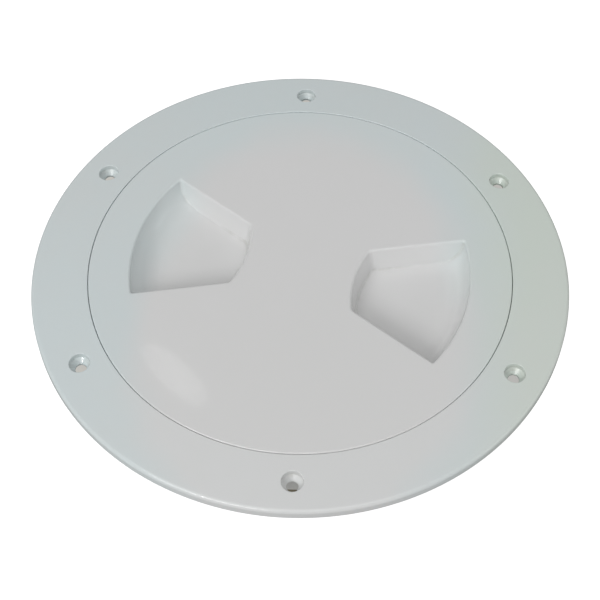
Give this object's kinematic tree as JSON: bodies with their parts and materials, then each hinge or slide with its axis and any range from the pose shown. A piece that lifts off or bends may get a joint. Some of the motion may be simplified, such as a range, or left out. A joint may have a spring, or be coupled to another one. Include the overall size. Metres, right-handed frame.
{
  "type": "deck hatch",
  "caption": "Round flush screw-out inspection hatch for a boat's deck: flanged ring with threaded collar, lid with finger cups, and O-ring seal.",
  "frame": {"origin": "on the hatch's axis in the plane of the deck face, which is the underside of the flange", "axes": "+Z along the hatch's axis, out of the deck; +X 30 degrees clockwise, seen from above, from one of the six screw holes"},
  "size_m": [0.205, 0.205, 0.0265],
  "materials": {
    "ring_plastic": "gloss moulded, white",
    "lid_plastic": "gloss moulded, white",
    "seal_rubber": "greased nitrile rubber, black"
  },
  "bodies": {
    "ring_body": {"deck_ring": "ring_plastic"},
    "seal_body": {"lid_o_ring": "seal_rubber"},
    "lid_body": {"screw_lid": "lid_plastic"}
  },
  "joints": [
    {"name": "lid_lift", "type": "slide", "parent": "ring_body", "child": "seal_body", "axis": [0, 0, 1], "range_m": [0, 0.024]},
    {"name": "lid_turn", "type": "hinge", "parent": "seal_body", "child": "lid_body", "pos_m": [0, 0, 0], "axis": [0, 0, 1], "range_deg": [0, 720]}
  ],
  "couplings": [
    {"joint": "lid_lift", "follows": "lid_turn", "m_per_rad": 0.0019099}
  ]
}
